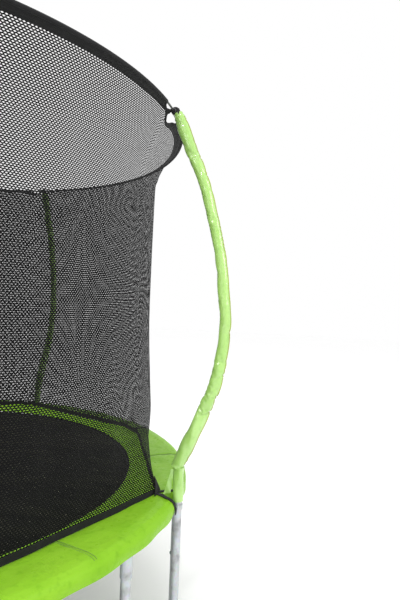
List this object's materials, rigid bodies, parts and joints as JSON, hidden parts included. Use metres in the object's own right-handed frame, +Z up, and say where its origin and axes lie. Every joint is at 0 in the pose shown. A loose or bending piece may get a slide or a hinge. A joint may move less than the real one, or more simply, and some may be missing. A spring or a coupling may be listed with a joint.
{
  "type": "trampoline",
  "caption": "Round backyard trampoline: a sprung mat in a steel ring on W-shaped legs, with a padded rim and a zipped net hung inside bowed poles.",
  "frame": {"origin": "on the ground under the middle of the jumping mat", "axes": "+Z up; +X through pole 1 and +Y through pole 2, outwards from the middle"},
  "size_m": [3.5118, 3.5118, 2.5356],
  "materials": {
    "galvanised_steel": "zinc-coated, satin",
    "bracket_steel": "zinc-plated, satin",
    "sleeve_vinyl": "lime coated fabric over foam, glossy with creases",
    "pad_vinyl": "lime PVC cover over foam, soft sheen",
    "mat_weave": "tightly woven polypropylene, matte",
    "netting": "black knitted polyester net, matte",
    "webbing": "black woven strap and hem, matte",
    "fibreglass": "black fibreglass rod, satin",
    "black_plastic": "black moulded plastic, satin",
    "spring_steel": "zinc-coated spring wire",
    "zip_metal": "black painted zinc, satin"
  },
  "bodies": {
    "frame": {"top_rail_1": "galvanised_steel", "top_rail_2": "galvanised_steel", "top_rail_3": "galvanised_steel", "top_rail_4": "galvanised_steel", "top_rail_5": "galvanised_steel", "top_rail_6": "galvanised_steel", "top_rail_7": "galvanised_steel", "top_rail_8": "galvanised_steel", "leg_upright_1": "galvanised_steel", "leg_upright_2": "galvanised_steel", "leg_upright_3": "galvanised_steel", "leg_upright_4": "galvanised_steel", "leg_upright_5": "galvanised_steel", "leg_upright_6": "galvanised_steel", "leg_upright_7": "galvanised_steel", "leg_upright_8": "galvanised_steel", "leg_base_1": "galvanised_steel", "leg_base_2": "galvanised_steel", "leg_base_3": "galvanised_steel", "leg_base_4": "galvanised_steel", "pole_lower_1": "galvanised_steel", "pole_lower_2": "galvanised_steel", "pole_lower_3": "galvanised_steel", "pole_lower_4": "galvanised_steel", "pole_upper_1": "galvanised_steel", "pole_upper_2": "galvanised_steel", "pole_upper_3": "galvanised_steel", "pole_upper_4": "galvanised_steel", "pole_foot_bracket_1": "bracket_steel", "pole_foot_bracket_2": "bracket_steel", "pole_foot_bracket_3": "bracket_steel", "pole_foot_bracket_4": "bracket_steel", "pole_rail_bracket_1": "bracket_steel", "pole_rail_bracket_2": "bracket_steel", "pole_rail_bracket_3": "bracket_steel", "pole_rail_bracket_4": "bracket_steel", "pole_sleeve_1": "sleeve_vinyl", "pole_sleeve_2": "sleeve_vinyl", "pole_sleeve_3": "sleeve_vinyl", "pole_sleeve_4": "sleeve_vinyl", "pole_cap_1": "black_plastic", "pole_cap_2": "black_plastic", "pole_cap_3": "black_plastic", "pole_cap_4": "black_plastic", "top_rod_1": "fibreglass", "top_rod_2": "fibreglass", "top_rod_3": "fibreglass", "top_rod_4": "fibreglass", "top_rod_5": "fibreglass", "top_rod_6": "fibreglass", "spring_set": "spring_steel", "safety_pad": "pad_vinyl", "net_panel_1": "netting", "net_panel_2": "netting", "net_panel_3": "netting", "net_panel_4": "netting"},
    "mat": {"jumping_mat": "mat_weave"},
    "door": {"door_flap": "netting"},
    "slider": {"zip_slider": "zip_metal"},
    "pull": {"zip_pull": "zip_metal"}
  },
  "joints": [
    {"name": "mat_bounce", "type": "slide", "parent": "frame", "child": "mat", "axis": [0, 0, -1], "range_m": [0, 0.3], "stiffness_N_per_m": 5000, "springref_m": -0.04, "deforming": ["spring_set"]},
    {"name": "door_swing", "type": "hinge", "parent": "frame", "child": "door", "pos_m": [-1.16219, -0.7404, 1.4], "axis": [0, 0, -1], "range_deg": [0, 100]},
    {"name": "zip_slide", "type": "slide", "parent": "frame", "child": "slider", "axis": [-0.0223, -0.0366, -0.9991], "range_m": [0, 1.05]},
    {"name": "pull_swing", "type": "hinge", "parent": "slider", "child": "pull", "pos_m": [-0.69815, -1.14376, 1.977], "axis": [-0.8536, 0.521, 0], "range_deg": [0, 120]}
  ],
  "couplings": [
    {"joint": "zip_slide", "follows": "door_swing", "m_per_rad": 0.6}
  ]
}
